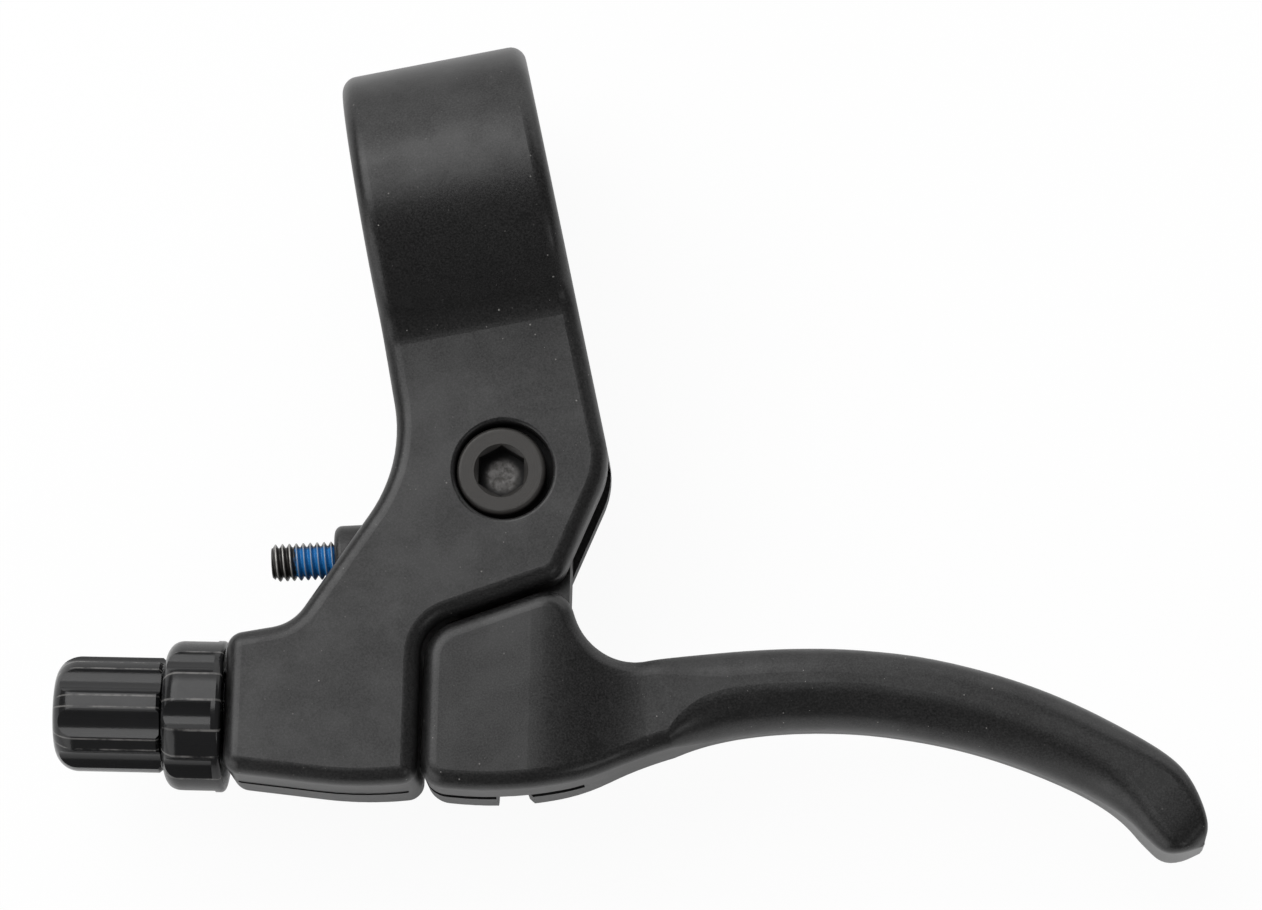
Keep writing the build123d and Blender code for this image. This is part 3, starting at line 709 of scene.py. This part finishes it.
class BRAKE_OT_adjuster(bpy.types.Operator):
    """Finish the barrel and the lock nut and cut the barrel's thread"""

    bl_idname = "brake.adjuster"
    bl_label = "Cable adjuster"

    def execute(self, context):
        thread = context.scene.brake_thread
        settings = context.scene.brake_paint
        place = cable_frame()
        material = anodised("barrel black", settings, *BARREL_RIDGES)
        radius = thread.barrel_radius
        mesh = grown("barrel_thread", thread_tree(), {
            "Radius": radius, "Depth": thread.barrel_depth, "Pitch": thread.barrel_pitch,
            "Length": thread.barrel_length, "Chamfer": 0.0, "Around": thread.steps + 1,
            "Along": int(thread.barrel_length / thread.barrel_pitch * FACES_A_PITCH) + 1,
            "Material": material})
        turned_outwards(mesh, place @ Matrix.Translation((BARREL_SEAT, 0, 0)))
        rest = copied("adjusting_barrel", place,
                      lambda spot: abs(off_axis(spot) - radius) < 0.02 and spot.x > BARREL_SEAT + 0.01)
        piece = joined("adjusting_barrel_threaded", [mesh, rest], material)
        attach(piece, "adjusting_barrel")
        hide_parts("adjusting_barrel")
        paint_node("lock_nut", anodised("lock nut black", settings, *NUT_RIDGES))
        return {"FINISHED"}


def aim_camera(stage):
    """Place the camera where the photograph was taken from."""
    tilt, swing, roll = stage.tilt, stage.swing, stage.roll
    toward = Vector((math.sin(swing) * math.cos(tilt), -math.sin(tilt), math.cos(swing) * math.cos(tilt)))
    right = Vector((0, 1, 0)).cross(toward).normalized()
    up = toward.cross(right)
    spin = Matrix.Rotation(roll, 3, "Z")
    toward, right, up = spin @ toward, spin @ right, spin @ up
    focal = stage.scale * stage.distance / MM
    pixels = Vector((stage.pivot_column - PHOTO_WIDTH / 2, PHOTO_HEIGHT / 2 - stage.pivot_row))
    shift = pixels / stage.scale * MM
    where = PIVOT * MM - right * shift.x - up * shift.y + toward * stage.distance
    lens = bpy.data.cameras.new("camera")
    lens.sensor_fit = "HORIZONTAL"
    lens.sensor_width = 36.0
    lens.lens = lens.sensor_width * focal / PHOTO_WIDTH
    lens.clip_start = 0.01
    lens.clip_end = 50.0
    camera = bpy.data.objects.new("camera", lens)
    axes = Matrix((right, up, toward)).transposed().to_4x4()
    camera.matrix_world = Matrix.Translation(where) @ axes
    bpy.context.scene.collection.objects.link(camera)
    bpy.context.scene.camera = camera


def seen(sheet, mirrored):
    """Return 1 for rays that show the background, less for mirrored ones, 0 for those that only light."""
    camera = sheet.node("ShaderNodeLightPath", {}, {}, "Is Camera Ray")
    glossy = sheet.node("ShaderNodeLightPath", {}, {}, "Is Glossy Ray")
    through = sheet.node("ShaderNodeLightPath", {}, {}, "Is Transmission Ray")
    return (camera + mirrored * glossy + through).clamp()


def table_finish(stage):
    """Return the white table: white to the eye, with a little of the shadow."""
    material = bpy.data.materials.new("white table")
    material.use_nodes = True
    sheet = Sheet(material.node_tree)
    lit = sheet.node("ShaderNodeBsdfDiffuse", {}, {"Color": TABLE_WHITE})
    white = sheet.node("ShaderNodeEmission", {}, {"Color": WHITE, "Strength": 1.0})
    # Painted shadow: ambient occlusion darkens the white that polished surfaces mirror near the object.
    free = sheet.node("ShaderNodeAmbientOcclusion", {"samples": 8}, {"Distance": SHADOW_REACH}, "AO")
    mirrored = stage.mirrored + (1.0 - stage.mirrored) * free.ramp(0.7, 0.93)
    share = seen(sheet, mirrored) * (1.0 - stage.shadow)
    mixed = sheet.node("ShaderNodeMixShader", {}, [share, lit, white])
    sheet.node("ShaderNodeOutputMaterial", {}, {"Surface": mixed})
    return material


def hang_lamp(stage, name, power, width, length, reach, to_bar, to_blade):
    """Hang a flat lamp that faces the pivot, swung from overhead to the bar and to the blade."""
    light = bpy.data.lights.new(name, "AREA")
    light.shape = "RECTANGLE"
    light.size = width
    light.size_y = length
    light.energy = power * stage.lamp_share
    lamp = bpy.data.objects.new(name, light)
    turned = Matrix.Rotation(stage.roll, 4, "Z") @ Matrix.Rotation(-math.radians(to_bar), 4, "X")
    turned = turned @ Matrix.Rotation(math.radians(to_blade), 4, "Y")
    lamp.matrix_world = Matrix.Translation(PIVOT * MM) @ turned @ Matrix.Translation((0, 0, reach))
    bpy.context.scene.collection.objects.link(lamp)


class BRAKE_OT_stage(bpy.types.Operator):
    """Set the table, the lamps, the room and the camera"""

    bl_idname = "brake.stage"
    bl_label = "Stage"

    def execute(self, context):
        stage = context.scene.brake_stage
        scene = context.scene
        scene.view_settings.view_transform = "Standard"
        half = TABLE_HALF
        drop = -stage.table_drop
        mesh = bpy.data.meshes.new("table")
        corners = [(-half, -half, drop), (half, -half, drop), (half, half, drop), (-half, half, drop)]
        mesh.from_pydata(corners, [], [(0, 1, 2, 3)])
        mesh.materials.append(table_finish(stage))
        table = bpy.data.objects.new("table", mesh)
        scene.collection.objects.link(table)

        for name, place in LAMPS.items():
            hang_lamp(stage, name, **place)

        world = bpy.data.worlds.new("room")
        scene.world = world
        world.use_nodes = True
        sheet = Sheet(world.node_tree)
        camera = sheet.node("ShaderNodeLightPath", {}, {}, "Is Camera Ray")
        strength = stage.ambient + camera * (1.0 - stage.ambient)
        sky = sheet.node("ShaderNodeBackground", {}, {"Color": WHITE, "Strength": strength})
        sheet.node("ShaderNodeOutputWorld", {}, {"Surface": sky})
        aim_camera(stage)
        return {"FINISHED"}


STEPS = (BRAKE_OT_castings, BRAKE_OT_fasteners, BRAKE_OT_reach_screw, BRAKE_OT_adjuster, BRAKE_OT_stage)


class BRAKE_PT_panel(bpy.types.Panel):
    """Lists the settings and the steps of the brake lever"""

    bl_idname = "BRAKE_PT_panel"
    bl_label = "Brake lever"
    bl_space_type = "VIEW_3D"
    bl_region_type = "UI"
    bl_category = "Brake lever"

    def draw(self, context):
        for group in (context.scene.brake_paint, context.scene.brake_thread, context.scene.brake_stage):
            box = self.layout.box()
            for key in group.bl_rna.properties.keys():
                if key not in {"rna_type", "name"}:
                    box.prop(group, key)
        for step in STEPS:
            self.layout.operator(step.bl_idname)


GROUPS = {"brake_paint": PaintSettings, "brake_thread": ThreadSettings, "brake_stage": StageSettings}


def register():
    for group in GROUPS.values():
        bpy.utils.register_class(group)
    for step in STEPS:
        bpy.utils.register_class(step)
    bpy.utils.register_class(BRAKE_PT_panel)
    for name, group in GROUPS.items():
        setattr(bpy.types.Scene, name, PointerProperty(type=group))


def unregister():
    for name in GROUPS:
        delattr(bpy.types.Scene, name)
    bpy.utils.unregister_class(BRAKE_PT_panel)
    for step in reversed(STEPS):
        bpy.utils.unregister_class(step)
    for group in reversed(GROUPS.values()):
        bpy.utils.unregister_class(group)


def main():
    register()
    bpy.ops.brake.castings()
    bpy.ops.brake.fasteners()
    bpy.ops.brake.reach_screw()
    bpy.ops.brake.adjuster()
    bpy.ops.brake.stage()


if __name__ == "__main__":
    main()
